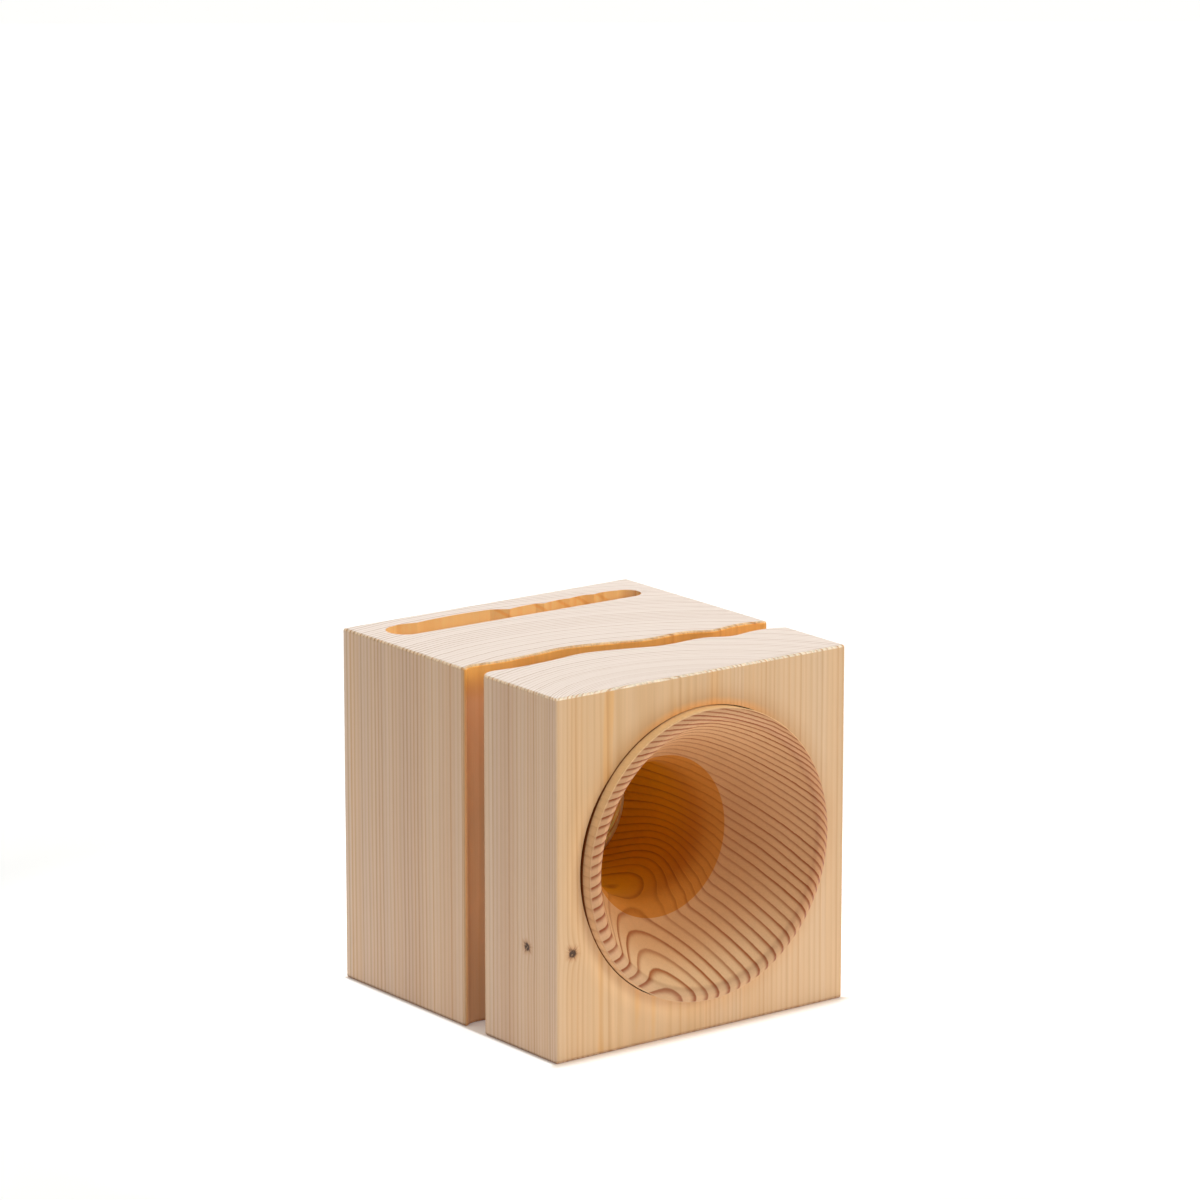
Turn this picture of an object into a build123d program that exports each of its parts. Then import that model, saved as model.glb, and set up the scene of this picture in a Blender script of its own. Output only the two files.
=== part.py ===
from build123d import *
import os

# Wooden phone stand with a horn: two blocks sawn from one square beam, and a turned horn
# that passes through the front block, crosses the wavy gap and seats in the rear block.
# Millimetres. +X is the object's left to right as seen from the front, -Y is the front,
# +Z is up. The origin is the centre of the object's footprint, on the table.

os.makedirs("parts", exist_ok=True)

# ---- driving dimensions -------------------------------------------------------------
beam_width = 100.0          # along X
beam_depth = 100.0          # along Y, both blocks and the gap together
beam_height = 102.2         # along Z
edge_round = 0.8            # softened edges of the blocks

gap_width = 7.95            # along Y, the same all along the wave

axis_height = beam_height / 2
hole_radius = 41.4          # through the front block, close round the horn's lip
relief_radius = 38.0        # the same hole opened a little at its left
relief_shift = (-3.95, 0.7) # along X and Z, the relief's centre from the horn's axis
horn_nose = 4.5             # how far the horn's lip stands in front of the front block
lip_radius = 41.3           # the horn's largest radius, at its lip
lip_back = 1.0              # the outer edge of the lip lies this much behind its foremost line
lip_front_radius = 39.5     # the foremost line of the lip
bell_radius = 37.3          # where the lip's round inner edge runs out into the straight bell
bell_depth = -3.2           # that place's depth, in front of the front face
throat_radius = 23.1        # the edge where the straight bell ends
throat_depth = 19.5         # that edge's depth behind the front face
bore_radius = 19.6          # the nearly straight bore behind the throat
bore_depth = 29.0           # where the throat has narrowed down to it
tail_radius = 24.9          # the turned spigot that fits the rear block
tail_depth = 61.0           # where the horn ends
head_radius = 40.3          # the horn's head at its rear, slightly slimmer than the lip
head_depth = 15.0
shoulder_depth = 33.0       # where the head's rear cone meets the spigot

bore_clearance = 0.08       # radial, spigot in the rear block's bore
seat_clearance = 0.2        # between the spigot's end and the bottom of its bore

slot_depth = 40.0           # the phone stands on the floor at this depth
slot_front = 81.3           # the slot's straight front wall, behind the front face
slot_skew = 0.5             # the front wall's two ends lie this much off that line
slot_left = -42.8
slot_right = 43.0
slot_left_radius = 5.7
slot_right_radius = 4.4
well_radius = 18.8          # the sound well under the slot, and the passage to the horn
well_back = 89.0

# ---- places that follow from them ---------------------------------------------------
front_y = horn_nose - (beam_depth + horn_nose) / 2      # the front face's place on Y
half_width = beam_width / 2


def behind(x, depth):
    """A point of the plan, given by its depth behind the front face."""
    return (x, front_y + depth)


def wave_edge(shift):
    """The hand-sawn wave between the blocks, as seen from above."""
    plan = [
        (-50.0, 32.5), (-47.2, 35.2), (-40.0, 35.0), (-31.0, 34.95), (-23.5, 35.6),
        (-15.0, 36.6), (-8.0, 35.6), (2.0, 32.6), (8.0, 30.75), (16.0, 30.5),
        (24.5, 30.3), (27.5, 29.0), (30.5, 27.6), (37.0, 28.1), (46.5, 27.6), (50.0, 25.8),
    ]
    return Spline([behind(x, depth + shift) for x, depth in plan])


def along_y(radius, start, end):
    """A cylinder on the horn's axis between two depths behind the front face."""
    middle = front_y + (start + end) / 2
    return Pos(0, middle, axis_height) * Rot(90, 0, 0) * Cylinder(radius, end - start)


def block(wave, flat_depth):
    """A block between the wave and a straight face, its straight edges softened."""
    start = wave @ 0
    end = wave @ 1
    corner_right = behind(half_width, flat_depth)
    corner_left = behind(-half_width, flat_depth)
    outline = Wire([
        wave,
        Line(end, corner_right),
        Line(corner_right, corner_left),
        Line(corner_left, start),
    ])
    solid = extrude(make_face(outline), beam_height)
    return fillet(solid.edges(), edge_round)


def front_block():
    body = block(wave_edge(0), 0)
    shift_x, shift_z = relief_shift
    body -= along_y(hole_radius, -1, 50)
    return body - Pos(shift_x, 0, shift_z) * along_y(relief_radius, -1, 50)


def slot_outline():
    """Straight front wall, round ends, and a rear wall of ever shorter scallops."""
    front_left = behind(slot_left + slot_left_radius, slot_front + slot_skew)
    front_right = behind(slot_right - slot_right_radius, slot_front - slot_skew)
    # each scallop: where it starts, its middle and its end, from right to left
    scallops = [
        ((38.6, 89.4), (35.4, 90.2), (30.6, 89.7)),
        ((28.6, 90.5), (25.6, 90.6), (22.0, 89.9)),
        ((20.2, 90.3), (17.0, 90.2), (12.6, 89.4)),
        ((10.4, 90.6), (6.4, 90.6), (0.6, 89.8)),
        ((-4.2, 92.6), (-16.0, 93.4), (-29.6, 92.4)),
        ((-34.2, 93.5), (-35.6, 93.5), (-37.1, 93.1)),
    ]
    edges = [Line(front_left, front_right)]
    here = behind(*scallops[0][0])
    edges.append(ThreePointArc(front_right, behind(slot_right, 85.2), here))
    for start, middle, end in scallops:
        start, middle, end = behind(*start), behind(*middle), behind(*end)
        if start != here:
            edges.append(Line(here, start))
        edges.append(ThreePointArc(start, middle, end))
        here = end
    edges.append(ThreePointArc(here, behind(slot_left, 87.4), front_left))
    return make_face(Wire(edges))


def rear_block():
    body = block(wave_edge(gap_width), beam_depth)
    body -= along_y(tail_radius + bore_clearance, 20, tail_depth + seat_clearance)
    body -= along_y(well_radius, tail_depth, well_back)
    slot_floor = beam_height - slot_depth
    body -= Pos(0, 0, slot_floor) * extrude(slot_outline(), slot_depth + 1)
    well_front = slot_front + 0.6
    well_height = slot_floor - axis_height
    well = Box(2 * well_radius, well_back - well_front, well_height + 0.1)
    body -= Pos(0, front_y + (well_front + well_back) / 2, axis_height + well_height / 2) * well
    return body


def horn():
    """The horn's section, radius against depth, turned about its axis."""
    lip_outer = behind(lip_radius, lip_back - horn_nose)
    lip_crown = behind((lip_radius + lip_front_radius) / 2, lip_back * 0.38 - horn_nose)
    lip_front = behind(lip_front_radius, -horn_nose)
    bell = behind(bell_radius, bell_depth)
    throat = behind(throat_radius, throat_depth)
    bore_start = behind(bore_radius, bore_depth)
    bore_end = behind(bore_radius, tail_depth)
    tail_outer = behind(tail_radius, tail_depth)
    shoulder = behind(tail_radius, shoulder_depth)
    head = behind(head_radius, head_depth)
    section = Wire([
        ThreePointArc(lip_outer, lip_crown, lip_front),
        TangentArc(lip_front, bell, tangent=(-1, 0)),
        Line(bell, throat),
        Spline([throat, bore_start], tangents=[(-0.6, 1), (0, 1)]),
        Line(bore_start, bore_end),
        Line(bore_end, tail_outer),
        Line(tail_outer, shoulder),
        Line(shoulder, head),
        Line(head, lip_outer),
    ])
    return Pos(0, 0, axis_height) * revolve(make_face(section), Axis.Y)


export_step(front_block(), "parts/front_block.step")
export_step(rear_block(), "parts/rear_block.step")
export_step(horn(), "parts/horn.step")
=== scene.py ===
"""Looks of the wooden phone stand: two blocks of one sawn beam and a turned horn, each in its own wood."""

import math

import bpy
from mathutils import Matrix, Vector

# Camera, in metres and degrees
CAMERA_SIDE = 37.14          # how far round to the left of the front it stands
CAMERA_HEIGHT = 13.51        # how far above the horizon
CAMERA_DISTANCE = 1.5755
CAMERA_TARGET = (0.0, 0.00225, 0.05)
CAMERA_OFFSET = (0.0021, 0.0608)     # along its own right and up
LENS = 168.525
SENSOR = 36.0

# Growth rings of the beam, in metres: upright cylinders about a pith in front of the blocks
BEAM_PITH = (-0.020, -0.08475)
BEAM_RING = 0.00165          # the usual width of a ring
# The one branch in it, a straight line through a place and in a direction of length 1
BRANCH_PLACE = (-0.0445, -0.04775, 0.0304)
BRANCH_WAY = (-0.383, 0.923, -0.011)
BRANCH_SIDE = (-0.050, -0.0345, 0.0302)      # where it comes out of the left side
# Painted shade at the steps between the cutter's scallops on the slot's walls, each at this x at the top
# and slanting with depth
SLOT_STEP_SHADES = (-0.0028, 0.0098, 0.0180, 0.0248, 0.0317)
STEP_SHADE_SLANT = 1.5

# Growth rings of the horn: cylinders along Y about a pith below its bore
HORN_PITH = (-0.0179, 0.0074)
HORN_AXIS_HEIGHT = 0.0511
# Ring number of the horn at a distance r from the pith: start * r + gain * r ** power + shift
RING_START = 247.25
RING_GAIN = 270250.0
RING_POWER = 4.0
RING_SHIFT = -2.31
# The burl low in the throat, its size and how far it draws the rings in
BURL_PLACE = (0.0093, -0.0058, 0.0342)
BURL_SIZE = 0.0163
BURL_PULL = 0.0128

FRONT = -0.04775             # the front face
BACK = 0.05225
HALF_WIDTH = 0.05
HEIGHT = 0.1022
THROAT_DEPTH = 0.0195        # where the horn's cone ends, behind the front face
HOLE_RADIUS = 0.0414         # the hole in the front block
LIP_RADIUS = 0.0413          # the horn's lip in it

# How strongly the floor itself glows: just around the stand, farther out, and in the far background
GLOW_NEAR = 0.6
GLOW_MIDDLE = 0.15
GLOW_FAR = 0.4
FLOOR_REACH = 14.0           # how far the floor runs to each side, in metres


class Shader:
    """One material and the nodes that make it. Each call adds a node and returns its output."""

    def __init__(self, name):
        self.material = bpy.data.materials.new(name)
        self.material.use_nodes = True
        self.tree = self.material.node_tree
        self.tree.nodes.clear()

    def feed(self, socket, value):
        """Joins an output to a socket, or sets the socket to a number or colour."""
        if isinstance(value, bpy.types.NodeSocket):
            self.tree.links.new(value, socket)
        else:
            socket.default_value = value

    def math(self, operation, *values, clamp=False):
        node = self.tree.nodes.new("ShaderNodeMath")
        node.operation = operation
        node.use_clamp = clamp
        for socket, value in zip(node.inputs, values):
            self.feed(socket, value)
        return node.outputs[0]

    def vector(self, operation, *values):
        node = self.tree.nodes.new("ShaderNodeVectorMath")
        node.operation = operation
        for socket, value in zip(node.inputs, values):
            self.feed(socket, value)
        return node.outputs[0]

    def length(self, vector):
        node = self.tree.nodes.new("ShaderNodeVectorMath")
        node.operation = "LENGTH"
        self.feed(node.inputs[0], vector)
        return node.outputs["Value"]

    def dot(self, one, other):
        node = self.tree.nodes.new("ShaderNodeVectorMath")
        node.operation = "DOT_PRODUCT"
        self.feed(node.inputs[0], one)
        self.feed(node.inputs[1], other)
        return node.outputs["Value"]

    def split(self, vector):
        node = self.tree.nodes.new("ShaderNodeSeparateXYZ")
        self.feed(node.inputs[0], vector)
        return node.outputs[0], node.outputs[1], node.outputs[2]

    def join(self, x, y, z):
        node = self.tree.nodes.new("ShaderNodeCombineXYZ")
        for socket, value in zip(node.inputs, (x, y, z)):
            self.feed(socket, value)
        return node.outputs[0]

    def place(self):
        """Where the point is on its own piece, in metres, and which way its surface faces."""
        node = self.tree.nodes.new("ShaderNodeTexCoord")
        return node.outputs["Object"], node.outputs["Normal"]

    def ramp(self, value, low, high, out_low=0.0, out_high=1.0):
        """A smooth step from out_low at low to out_high at high."""
        node = self.tree.nodes.new("ShaderNodeMapRange")
        node.interpolation_type = "SMOOTHSTEP"
        for socket, number in zip(node.inputs, (value, low, high, out_low, out_high)):
            self.feed(socket, number)
        return node.outputs[0]

    def noise(self, vector, stretch, detail=2.0, roughness=0.5):
        """Noise about zero, from about -0.5 to 0.5, with stretch cycles per metre along each axis."""
        node = self.tree.nodes.new("ShaderNodeTexNoise")
        self.feed(node.inputs["Vector"], self.vector("MULTIPLY", vector, stretch))
        node.inputs["Scale"].default_value = 1.0
        node.inputs["Detail"].default_value = detail
        node.inputs["Roughness"].default_value = roughness
        return self.math("SUBTRACT", node.outputs["Fac"], 0.5)

    def chance(self, value):
        """A number from 0 to 1 that is random from one whole number to the next."""
        node = self.tree.nodes.new("ShaderNodeTexWhiteNoise")
        node.noise_dimensions = "1D"
        self.feed(node.inputs["W"], value)
        return node.outputs["Value"]

    def mix(self, share, one, other):
        """A colour share of the way from one to other."""
        node = self.tree.nodes.new("ShaderNodeMix")
        node.data_type = "RGBA"
        self.feed(node.inputs["Factor"], share)
        self.feed(node.inputs["A"], rgba(one))
        self.feed(node.inputs["B"], rgba(other))
        return node.outputs["Result"]

    def tint(self, share, colour, factors):
        """A colour multiplied by factors as far as share says."""
        return self.mix(share, colour, self.vector("MULTIPLY", colour, factors))

    def both(self, first, *others):
        """Several shares multiplied together."""
        for other in others:
            first = self.math("MULTIPLY", first, other)
        return first

    def scale(self, colour, factor):
        """A colour made lighter or darker by a factor."""
        node = self.tree.nodes.new("ShaderNodeVectorMath")
        node.operation = "SCALE"
        self.feed(node.inputs[0], colour)
        self.feed(node.inputs["Scale"], factor)
        return node.outputs[0]

    def finish(self, colour, roughness, height, depth, specular=0.4, glow=0.0):
        """The shader itself. height from 0 to 1 is the relief of the surface, depth its size in metres."""
        shader = self.tree.nodes.new("ShaderNodeBsdfPrincipled")
        out = self.tree.nodes.new("ShaderNodeOutputMaterial")
        bump = self.tree.nodes.new("ShaderNodeBump")
        bump.inputs["Strength"].default_value = 1.0
        bump.inputs["Distance"].default_value = depth
        self.feed(bump.inputs["Height"], height)
        self.feed(shader.inputs["Base Color"], colour)
        self.feed(shader.inputs["Roughness"], roughness)
        shader.inputs["Specular IOR Level"].default_value = specular
        shader.inputs["Emission Color"].default_value = (1.0, 1.0, 1.0, 1.0)
        self.feed(shader.inputs["Emission Strength"], glow)
        self.tree.links.new(bump.outputs[0], shader.inputs["Normal"])
        self.tree.links.new(shader.outputs[0], out.inputs["Surface"])
        return self.material


def rgba(colour):
    """A colour given as red, green and blue with its alpha added. An output passes as it is."""
    if isinstance(colour, bpy.types.NodeSocket) or len(colour) == 4:
        return colour
    return (*colour, 1.0)


def srgb(red, green, blue):
    """Linear red, green and blue of a colour given in the usual 0 to 255 steps."""
    linear = []
    for step in (red, green, blue):
        share = step / 255
        linear.append(share / 12.92 if share <= 0.04045 else ((share + 0.055) / 1.055) ** 2.4)
    return tuple(linear)


def ring_lines(s, count, early, sharp, soft):
    """The dark late wood of each ring: rises from the share early of a ring to its end, then falls."""
    within = s.math("FRACT", count)
    rise = s.ramp(within, early, 1.0 - sharp)
    fall = s.ramp(within, 1.0 - sharp, 1.0, 1.0, 0.0)
    return s.math("MULTIPLY", s.math("POWER", rise, soft), fall)


class Spot:
    """The point being coloured: its place, its depth behind the front face and how far the axis is."""

    def __init__(self, s):
        self.place, self.normal = s.place()
        self.x, self.y, self.z = s.split(self.place)
        self.depth = s.math("SUBTRACT", self.y, FRONT)
        self.off_axis = s.length(s.join(self.x, 0.0, s.math("SUBTRACT", self.z, HORN_AXIS_HEIGHT)))


class BlockSpot(Spot):
    """A point of the blocks: also which way it faces, how far the pith is and which faces it belongs to."""

    def __init__(self, s):
        super().__init__(s)
        facing = [s.math("ABSOLUTE", part) for part in s.split(self.normal)]
        self.facing_x, self.facing_y, self.facing_z = facing
        self.side = s.ramp(self.facing_x, 0.4, 0.9)
        self.on_front = s.ramp(self.depth, 0.001, 0.002, 1.0, 0.0)
        # the saw cut between the blocks and the slot both lie between these two planes
        self.before_back = s.ramp(self.y, BACK - 0.005, BACK - 0.003, 1.0, 0.0)
        self.between = s.both(s.ramp(self.depth, 0.010, 0.014), self.before_back)
        across = s.math("SUBTRACT", self.x, BEAM_PITH[0])
        self.from_pith = s.length(s.join(across, s.math("SUBTRACT", self.y, BEAM_PITH[1]), 0.0))


def crack_painted_light_and_shade(s, at):
    """Inside the crack round the horn's lip: painted shade at the left, where it is open, and painted light
    elsewhere.
    """
    return s.mix(s.ramp(at.x, -0.022, -0.004, 1.0, 0.0), srgb(255, 218, 168), srgb(160, 82, 26))


def off_branch(s, at):
    """The way from the branch to a point. On the left side it is taken from one place, for a round knot."""
    near = s.vector("SUBTRACT", at.place, BRANCH_PLACE)
    along = s.dot(near, BRANCH_WAY)
    shadow = s.vector("MULTIPLY", s.join(along, along, along), BRANCH_WAY)
    off_line = s.vector("SUBTRACT", near, shadow)
    return s.mix(at.side, off_line, s.vector("SUBTRACT", at.place, BRANCH_SIDE))


def beam_rings(s, at, knot):
    """The rings' own radius, the number of rings out to there and how dark the line of that ring is."""
    # the rings wander a little along the trunk, and the branch pushes them aside
    drift = s.noise(at.place, (18.0, 18.0, 9.0))
    ripple = s.noise(at.place, (260.0, 260.0, 14.0), detail=1.0)
    swell = s.math("MULTIPLY", s.math("EXPONENT", s.math("MULTIPLY", knot, -380.0)), 0.0011)
    radius = s.math("MULTIPLY_ADD", drift, 0.0011, at.from_pith)
    radius = s.math("MULTIPLY_ADD", ripple, 0.0007, radius)
    radius = s.math("ADD", radius, swell)

    # BEAM_RING apart, with eleven more squeezed in between these two distances
    usual = s.math("MULTIPLY", radius, 1 / BEAM_RING)
    extra = s.math("MULTIPLY", s.ramp(radius, 0.030, 0.062), 11.0)
    count = s.math("ADD", usual, extra)
    line = ring_lines(s, count, 0.25, 0.20, 1.6)
    line = s.math("MULTIPLY", line, s.ramp(s.chance(s.math("FLOOR", count)), 0.0, 1.0, 0.35, 1.22))
    return radius, count, line


def planed_faces(s, at, radius, count, line, fibres):
    """Pale early wood and darker late wood, yellower near the pith, with greyer and pinker sides."""
    band = s.chance(s.math("ADD", s.math("FLOOR", s.math("MULTIPLY", count, 0.34)), 71.0))
    early = s.mix(band, srgb(212, 180, 147), srgb(210, 173, 134))
    late = s.mix(band, srgb(188, 145, 100), srgb(190, 137, 84))
    corner = s.both(s.ramp(at.facing_x, 0.10, 0.30), s.ramp(at.facing_x, 0.90, 0.99, 1.0, 0.0))
    on_side = s.math("MULTIPLY_ADD", at.side, 0.28, 0.46)
    weight = s.both(line, on_side, s.math("MULTIPLY_ADD", corner, -0.7, 1.0))
    colour = s.mix(weight, early, late)

    heart = s.ramp(at.from_pith, 0.038, 0.050, 1.0, 0.0)
    patches = s.noise(at.place, (110.0, 110.0, 9.0))
    warm = s.math("MULTIPLY_ADD", patches, 1.6, heart, clamp=True)
    colour = s.tint(warm, colour, (0.99, 0.94, 0.83))
    flames = s.both(
        s.ramp(s.noise(at.place, (190.0, 190.0, 16.0), detail=1.0), 0.06, 0.17),
        s.ramp(radius, 0.036, 0.052, 1.0, 0.0),
        s.ramp(at.x, -0.044, -0.030, 0.3, 1.0),
    )
    colour = s.tint(flames, colour, (1.05, 0.92, 0.69))
    streaks = s.noise(at.place, (700.0, 700.0, 6.0), detail=1.0)
    colour = s.scale(colour, s.math("MULTIPLY_ADD", fibres, 0.14, 1.0))
    colour = s.scale(colour, s.math("MULTIPLY_ADD", streaks, 0.15, 1.0))

    colour = s.tint(at.side, colour, (0.99, 1.015, 1.14))
    broad = s.noise(s.join(s.math("MULTIPLY", count, 0.11), 0.0, 0.0), (1.0, 1.0, 1.0))
    grey = s.mix(s.ramp(broad, -0.12, 0.12), (1.04, 1.05, 1.06), (0.93, 0.88, 0.85))
    return s.tint(at.side, colour, grey)


def end_grain(s, at, colour, line):
    """Pale on top, and paler still on the rounded edges, where the rings show as short ticks. The edges'
    paleness is partly fuzzy end grain and partly a painted highlight; by the saw cut they take a painted
    orange glow.
    """
    pale = s.mix(line, srgb(238, 221, 209), srgb(194, 163, 138))
    colour = s.mix(s.ramp(at.facing_z, 0.75, 0.95), colour, pale)
    ticks = s.mix(s.math("MULTIPLY", line, 1.2, clamp=True), srgb(248, 232, 210), srgb(214, 172, 132))
    fringe = s.noise(at.place, (1500.0, 1500.0, 200.0), detail=1.0)
    ticks = s.scale(ticks, s.math("MULTIPLY_ADD", fringe, 0.9, 1.0))
    ticks = s.tint(s.ramp(at.facing_x, 0.1, 0.5), ticks, (1.00, 0.87, 0.75))
    # painted light: beside the saw cut the edges take the cut's orange glow
    painted_cut_glow = s.both(at.between, s.ramp(at.facing_y, 0.1, 0.4))
    ticks = s.tint(painted_cut_glow, ticks, (0.96, 0.78, 0.56))
    # the rounded edges are paler, partly from their fuzzy end grain and partly a painted highlight
    rounded = s.both(s.ramp(at.facing_z, 0.12, 0.40), s.ramp(at.facing_z, 0.93, 0.99, 1.0, 0.0))
    return s.mix(rounded, colour, ticks)


def cut_faces_painted_light(s, at, colour):
    """Painted light on the saw cut and the slot: brighter and more orange than the planed faces, most so at
    the top, and paler in the slot.
    """
    from_middle = s.math("ABSOLUTE", at.x)
    within = s.ramp(from_middle, HALF_WIDTH - 0.0012, HALF_WIDTH - 0.0008, 1.0, 0.0)
    # the painted light covers the saw cut's and slot's faces inside the beam's outer shell
    cut = s.math("MAXIMUM", s.ramp(at.facing_y, 0.70, 0.95), within)
    cut = s.both(cut, at.between, s.ramp(at.facing_z, 0.3, 0.5, 1.0, 0.0))
    in_slot = s.ramp(at.y, 0.024, 0.028)
    low = s.mix(s.ramp(at.z, 0.005, 0.045), (1.18, 1.05, 0.96), (1.44, 1.27, 1.13))
    high = s.mix(in_slot, (1.33, 1.02, 0.44), (1.68, 1.55, 1.04))
    colour = s.tint(cut, colour, s.mix(s.ramp(at.z, HEIGHT - 0.012, HEIGHT - 0.002), low, high))

    # painted shade on the saw cut's rounded upright edges
    edge = s.both(
        s.ramp(from_middle, HALF_WIDTH - 0.0010, HALF_WIDTH - 0.0007),
        s.ramp(at.facing_x, 0.90, 0.98, 1.0, 0.0),
        at.between,
        s.ramp(at.facing_z, 0.3, 0.6, 1.0, 0.0),
    )
    colour = s.tint(edge, colour, (0.80, 0.70, 0.54))

    # painted shade in slanting lines on the slot's walls, at the steps between the cutter's scallops
    slanted = s.math("MULTIPLY_ADD", s.math("SUBTRACT", HEIGHT, at.z), -STEP_SHADE_SLANT, at.x)
    for step_shade in SLOT_STEP_SHADES:
        off_step_shade = s.math("ABSOLUTE", s.math("SUBTRACT", slanted, step_shade))
        dark = s.both(s.ramp(off_step_shade, 0.0003, 0.0013, 0.6, 0.0), cut, in_slot)
        colour = s.tint(dark, colour, (0.84, 0.66, 0.42))
    return colour


def round_the_horn_painted_light_and_shade(s, at, colour):
    """Painted light left of the horn, warmer painted shade right of it and a warm painted glow above it.
    The hole's wall takes the crack's painted light and shade.
    """
    # painted light left of the hole, painted shade right of it
    beside = s.both(s.ramp(at.off_axis, HOLE_RADIUS + 0.0001, HOLE_RADIUS + 0.0076, 1.0, 0.0), at.on_front)
    slope = s.math("MULTIPLY_ADD", at.z, 0.5, at.x)
    painted_light_left_shade_right = s.mix(s.ramp(slope, -0.018, 0.018), (1.20, 1.20, 1.18), (0.94, 0.89, 0.82))
    colour = s.tint(beside, colour, painted_light_left_shade_right)
    # a warm painted glow above the hole
    halo = s.both(
        s.ramp(at.off_axis, HOLE_RADIUS, HOLE_RADIUS + 0.0026, 1.0, 0.0),
        s.ramp(at.z, HEIGHT - 0.020, HEIGHT - 0.008),
        at.on_front,
    )
    colour = s.tint(halo, colour, (1.35, 1.15, 0.85))
    # the hole's wall takes the crack's painted light and shade
    wall = s.both(
        s.ramp(at.off_axis, HOLE_RADIUS + 0.0006, HOLE_RADIUS + 0.0008, 1.0, 0.0),
        s.ramp(at.depth, 0.0, 0.0003),
        s.ramp(at.depth, 0.003, 0.009, 1.0, 0.0),
    )
    return s.mix(wall, colour, crack_painted_light_and_shade(s, at))


def knots(s, colour, off_line, knot, inner):
    """The branch: a dark brown core with a pale fleck, cracks running out of it and a warm halo."""
    spokes = s.noise(s.vector("NORMALIZE", off_line), (3.0, 3.0, 3.0), detail=3.0, roughness=0.7)
    reach = s.math("MULTIPLY_ADD", spokes, -0.0042, knot)
    colour = s.mix(s.ramp(reach, 0.0010, 0.0030, 0.6, 0.0), colour, srgb(178, 122, 78))
    colour = s.mix(s.ramp(reach, 0.0008, 0.0017, 0.8, 0.0), colour, srgb(110, 72, 46))
    fleck = s.noise(off_line, (1500.0, 1500.0, 1500.0), detail=2.0)
    core = s.mix(s.ramp(fleck, 0.02, 0.16), srgb(72, 46, 28), srgb(154, 116, 82))
    return s.mix(inner, colour, core)


def beam_wood(name):
    """Spruce sawn square: fine straight rings, one small branch, pale end grain on top."""
    s = Shader(name)
    at = BlockSpot(s)
    off_line = off_branch(s, at)
    knot = s.length(off_line)
    radius, count, line = beam_rings(s, at, knot)
    fibres = s.noise(at.place, (2600.0, 2600.0, 45.0), detail=3.0, roughness=0.6)

    colour = planed_faces(s, at, radius, count, line, fibres)
    colour = end_grain(s, at, colour, line)
    # painted light on the saw cut and the slot
    colour = cut_faces_painted_light(s, at, colour)
    # painted light: the bottom of the horn's seat, and what lies behind it, is warm and bright
    bore = s.both(s.ramp(at.off_axis, 0.026, 0.030, 1.0, 0.0), s.ramp(at.y, 0.0130, 0.0133), at.before_back)
    colour = s.tint(bore, colour, (1.12, 1.42, 1.25))
    colour = round_the_horn_painted_light_and_shade(s, at, colour)
    # painted shade darkens the foot where it meets the floor
    painted_foot_shade = s.ramp(at.z, 0.0002, 0.0012, 1.0, 0.0)
    colour = s.tint(painted_foot_shade, colour, s.mix(at.side, (0.50, 0.34, 0.25), (0.26, 0.17, 0.13)))
    inner = s.ramp(knot, 0.0008, 0.0013, 1.0, 0.0)
    colour = knots(s, colour, off_line, knot, inner)

    height = s.math("MULTIPLY_ADD", fibres, 0.6, s.math("MULTIPLY", line, 0.8))
    height = s.math("SUBTRACT", height, s.math("MULTIPLY", inner, 2.0))
    rough = s.ramp(line, 0.0, 1.0, 0.62, 0.48)
    return s.finish(colour, rough, height, 0.00004)


def horn_rings(s, at):
    """How dark the ring's line at a point is. The rings run along the bore, round a pith below its left."""
    across = s.math("SUBTRACT", at.x, HORN_PITH[0])
    radius = s.length(s.join(across, 0.0, s.math("SUBTRACT", at.z, HORN_PITH[1])))
    drift = s.noise(at.place, (22.0, 8.0, 22.0))
    ripple = s.noise(at.place, (130.0, 40.0, 130.0), detail=1.0)
    jitter = s.noise(at.place, (900.0, 260.0, 900.0), detail=2.0, roughness=0.6)
    radius = s.math("MULTIPLY_ADD", drift, 0.0016, radius)
    radius = s.math("MULTIPLY_ADD", ripple, 0.0004, radius)
    radius = s.math("MULTIPLY_ADD", jitter, 0.00022, radius)

    # a burl in the throat's wall draws the rings in round itself
    off_burl = s.vector("SUBTRACT", at.place, BURL_PLACE)
    square = s.dot(off_burl, off_burl)
    pull = s.math("EXPONENT", s.math("MULTIPLY", square, -1 / BURL_SIZE ** 2))
    pull = s.math("MULTIPLY", pull, s.ramp(at.depth, THROAT_DEPTH - 0.002, THROAT_DEPTH + 0.003))
    radius = s.math("MULTIPLY_ADD", pull, -BURL_PULL, radius)

    # rings get closer together outward: 3.8 mm apart near the pith, 1.1 mm at the far side
    linear = s.math("MULTIPLY", radius, RING_START)
    steeper = s.math("MULTIPLY", s.math("POWER", radius, RING_POWER), RING_GAIN)
    count = s.math("ADD", s.math("ADD", linear, steeper), RING_SHIFT)
    line = ring_lines(s, count, 0.40, 0.10, 2.6)
    return s.math("MULTIPLY", line, s.ramp(s.chance(s.math("FLOOR", count)), 0.0, 1.0, 0.7, 1.1))


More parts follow.
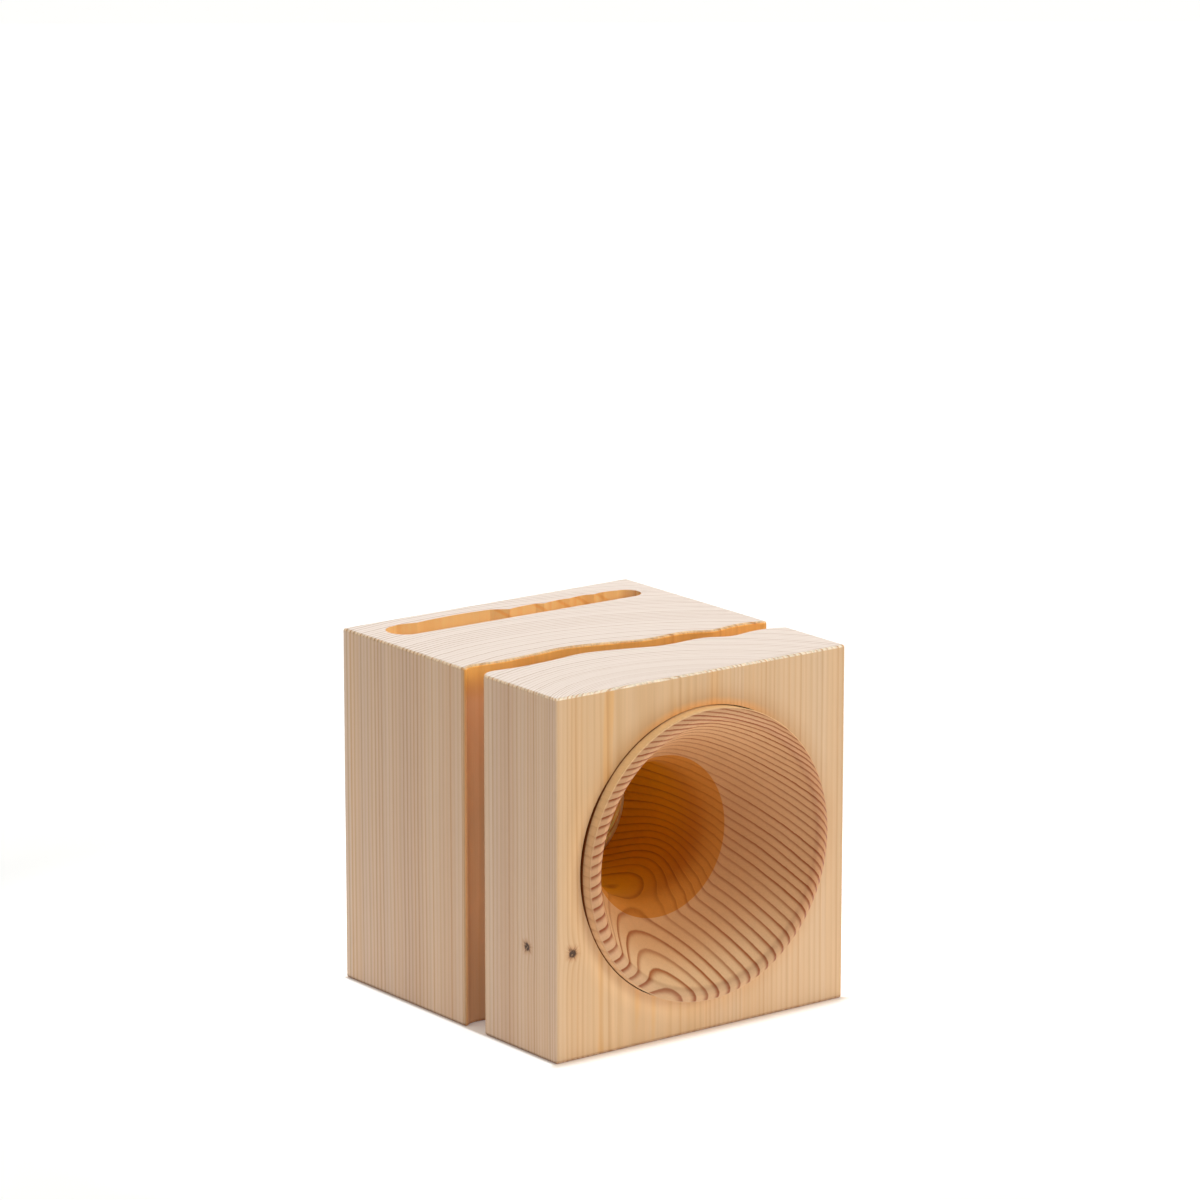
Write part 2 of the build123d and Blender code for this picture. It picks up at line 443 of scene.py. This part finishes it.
def bell_painted_light_and_shade(s, at, colour, on_lip, outside):
    """Painted light near the mouth and low in the cone, warmer painted shade deep inside and at the right.
    The lip's outer wall has a bright painted highlight on top, and the crack its painted light and shade.
    """
    # painted light near the mouth, painted shade deeper in
    painted_depth_shade = s.mix(s.ramp(at.depth, -0.002, 0.018), (1.04, 1.05, 1.06), (0.94, 0.87, 0.78))
    colour = s.vector("MULTIPLY", colour, painted_depth_shade)
    # painted light low in the cone, near the mouth
    below = s.both(
        s.ramp(at.z, HORN_AXIS_HEIGHT - 0.036, HORN_AXIS_HEIGHT - 0.008, 1.0, 0.0),
        s.ramp(at.depth, -0.002, 0.012, 1.0, 0.0),
    )
    colour = s.tint(below, colour, (1.12, 1.26, 1.36))
    # painted shade on the cone's right
    colour = s.tint(s.ramp(at.x, 0.010, 0.036), colour, (0.91, 0.84, 0.78))
    lip_shade = s.mix(s.ramp(at.z, 0.015, 0.035), (0.72, 0.66, 0.64), (0.85, 0.78, 0.78))
    colour = s.tint(on_lip, colour, lip_shade)
    # painted highlight on top of the lip's outer wall
    painted_upper_highlight = s.both(
        outside,
        s.ramp(at.z, HORN_AXIS_HEIGHT, HORN_AXIS_HEIGHT + 0.035),
        s.ramp(at.depth, -0.0042, -0.0030),
    )
    colour = s.mix(painted_upper_highlight, colour, srgb(254, 214, 158))
    # the crack round the lip takes its painted light and shade
    crack = s.both(
        s.ramp(at.off_axis, LIP_RADIUS - 0.0018, LIP_RADIUS - 0.0015),
        s.ramp(at.depth, -0.0003, 0.0001),
        s.ramp(at.depth, 0.0010, 0.0030, 1.0, 0.0),
    )
    return s.mix(crack, colour, crack_painted_light_and_shade(s, at))


def horn_wood(name):
    """Larch turned to a horn: wide pale rings with thin red brown lines, and an orange brown throat."""
    s = Shader(name)
    at = Spot(s)
    line = horn_rings(s, at)
    fibres = s.noise(at.place, (2400.0, 420.0, 2400.0), detail=3.0, roughness=0.65)
    streaks = s.noise(at.place, (300.0, 14.0, 300.0))

    # the lines are broad and strong on the lip's front, faint on its outer wall, thin toward the throat
    on_lip = s.ramp(at.depth, -0.0040, -0.0024, 1.0, 0.0)
    outside = s.ramp(at.off_axis, LIP_RADIUS - 0.0004, LIP_RADIUS - 0.0001)
    strength = s.ramp(at.off_axis, 0.020, 0.038, 0.60, 1.0)
    strength = s.both(strength, s.math("MULTIPLY_ADD", outside, -0.75, 1.0))
    fuller = s.math("MULTIPLY_ADD", s.ramp(at.off_axis, 0.028, 0.037), -0.25, 1.0)
    fuller = s.math("MULTIPLY_ADD", on_lip, -0.3, fuller)
    weight = s.both(s.math("POWER", line, fuller), strength)
    colour = s.mix(weight, srgb(214, 168, 124), srgb(150, 78, 36))
    colour = bell_painted_light_and_shade(s, at, colour, on_lip, outside)

    # the throat turns orange brown at a sharp edge and gets more orange with depth
    past = s.ramp(at.depth, THROAT_DEPTH - 0.0001, THROAT_DEPTH + 0.0002)
    inside = s.both(past, s.ramp(at.off_axis, 0.0236, 0.0242, 1.0, 0.0))
    throat_colour = s.mix(s.ramp(at.depth, THROAT_DEPTH, 0.045), srgb(198, 126, 50), srgb(230, 158, 6))
    throat_with_lines = s.mix(s.math("MULTIPLY", weight, 0.9), throat_colour, srgb(150, 80, 6))
    colour = s.mix(inside, colour, throat_with_lines)
    colour = s.scale(colour, s.math("MULTIPLY_ADD", fibres, 0.26, 1.0))
    colour = s.scale(colour, s.math("MULTIPLY_ADD", streaks, 0.10, 1.0))

    height = s.math("MULTIPLY_ADD", fibres, 0.5, line)
    rough = s.math("MAXIMUM", s.ramp(line, 0.0, 1.0, 0.58, 0.42), s.math("MULTIPLY", inside, 0.85))
    return s.finish(colour, rough, height, 0.00005, specular=0.25)


def floor():
    """A white floor, lit from below like a light table, and all that the camera sees behind the stand."""
    s = Shader("studio_floor")
    place = s.place()[0]
    x, y = s.split(place)[:2]
    grain = s.noise(place, (40.0, 40.0, 40.0), detail=3.0)
    colour = s.mix(s.math("ADD", grain, 0.5), (0.93, 0.93, 0.93), (0.96, 0.96, 0.96))

    beside = s.math("SUBTRACT", s.math("ABSOLUTE", x), HALF_WIDTH)
    depth = s.math("SUBTRACT", s.math("ABSOLUTE", s.math("SUBTRACT", y, (FRONT + BACK) / 2)), HALF_WIDTH)
    away = s.length(s.join(s.math("MAXIMUM", beside, 0.0), s.math("MAXIMUM", depth, 0.0), 0.0))
    # a shade where the stand meets the floor, wider in front of it than beside it
    wide = s.ramp(y, FRONT - 0.002, FRONT + 0.002, 0.0065, 0.0014)
    edge = s.ramp(away, 0.0, wide, 0.25, 1.0)
    contact = s.ramp(away, 0.0002, s.math("MULTIPLY", wide, 0.5))
    colour = s.vector("MULTIPLY", colour, s.mix(contact, (0.90, 0.78, 0.66), (1.0, 1.0, 1.0)))
    glow = s.ramp(away, 0.07, 0.16, GLOW_NEAR, GLOW_MIDDLE)
    glow = s.math("MAXIMUM", glow, s.ramp(away, 0.7, 2.0, GLOW_MIDDLE, GLOW_FAR))
    glow = s.math("MULTIPLY", glow, edge)
    material = s.finish(colour, 0.9, grain, 0.00002, specular=0.1, glow=glow)
    mesh = bpy.data.meshes.new("studio_floor")
    quarters = ((-1, -1), (1, -1), (1, 1), (-1, 1))
    corners = [(across * FLOOR_REACH, along * FLOOR_REACH, 0.0) for across, along in quarters]
    mesh.from_pydata(corners, [], [(0, 1, 2, 3)])
    mesh.materials.append(material)
    ground = bpy.data.objects.new("studio_floor", mesh)
    bpy.context.scene.collection.objects.link(ground)


def softbox(name, place, aim, size, power, colour=(1.0, 1.0, 1.0)):
    """A square area light of that size in metres at place, turned to aim, that the camera can't see."""
    data = bpy.data.lights.new(name, "AREA")
    data.shape = "RECTANGLE"
    data.size, data.size_y = size
    data.energy = power
    data.color = colour
    light = bpy.data.objects.new(name, data)
    light.location = place
    light.rotation_mode = "QUATERNION"
    light.rotation_quaternion = (Vector(aim) - Vector(place)).to_track_quat("-Z", "Y")
    light.visible_camera = False
    bpy.context.scene.collection.objects.link(light)


def ceiling(power, lean_front, lean_right):
    """Even light from a wide bright ceiling, leaning so many degrees, the same everywhere on the floor."""
    data = bpy.data.lights.new("ceiling", "SUN")
    data.energy = power
    data.color = (1.0, 0.97, 0.93)
    data.angle = math.radians(100)
    light = bpy.data.objects.new("ceiling", data)
    light.rotation_euler = (math.radians(lean_front), math.radians(lean_right), 0.0)
    bpy.context.scene.collection.objects.link(light)


def studio():
    """Soft light mostly from above, warmer from the front right, cooler from the left."""
    middle = (0.0, 0.0, 0.05)
    ceiling(1.66, -8.0, -4.0)
    softbox("front_box", (0.9, -1.7, 0.9), middle, (1.2, 1.0), 20.5, (1.0, 0.96, 0.84))
    softbox("left_box", (-1.8, 0.1, 0.7), middle, (1.2, 1.0), 2.6, (0.55, 0.85, 1.0))
    softbox("back_box", (1.1, 1.5, 0.6), middle, (1.8, 1.2), 23.0)
    world = bpy.data.worlds.new("studio_world")
    world.use_nodes = True
    background = world.node_tree.nodes["Background"]
    background.inputs["Color"].default_value = (0.84, 0.95, 1.0, 1.0)
    background.inputs["Strength"].default_value = 0.11
    bpy.context.scene.world = world
    bpy.context.scene.view_settings.view_transform = "Standard"


def camera():
    """The camera, turned to look level with the horizon lines upright, without shift or blur."""
    side, height = math.radians(-CAMERA_SIDE), math.radians(CAMERA_HEIGHT)
    back = Vector((math.sin(side) * math.cos(height), -math.cos(side) * math.cos(height), math.sin(height)))
    right = Vector((math.cos(side), math.sin(side), 0.0))
    up = back.cross(right)
    data = bpy.data.cameras.new("camera")
    data.lens = LENS
    data.sensor_width = SENSOR
    eye = bpy.data.objects.new("camera", data)
    eye.location = (Vector(CAMERA_TARGET) + back * CAMERA_DISTANCE
                    + right * CAMERA_OFFSET[0] + up * CAMERA_OFFSET[1])
    eye.rotation_mode = "QUATERNION"
    eye.rotation_quaternion = (-back).to_track_quat("-Z", "Y")
    bpy.context.scene.collection.objects.link(eye)
    bpy.context.scene.camera = eye


def dress(node, material):
    """Gives a CAD node its material."""
    slots = node.data.materials
    slots.clear()
    slots.append(material)


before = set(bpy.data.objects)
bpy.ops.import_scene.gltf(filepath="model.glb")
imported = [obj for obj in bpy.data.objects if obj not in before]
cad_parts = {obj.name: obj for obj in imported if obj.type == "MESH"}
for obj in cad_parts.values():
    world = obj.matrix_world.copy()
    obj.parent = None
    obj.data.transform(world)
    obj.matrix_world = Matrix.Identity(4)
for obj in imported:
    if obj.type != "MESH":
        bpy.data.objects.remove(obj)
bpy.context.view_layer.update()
dress(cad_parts["rear_block"], beam_wood("beam_wood"))
dress(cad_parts["front_block"], beam_wood("beam_wood_front"))
dress(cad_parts["horn"], horn_wood("horn_wood"))
floor()
studio()
camera()
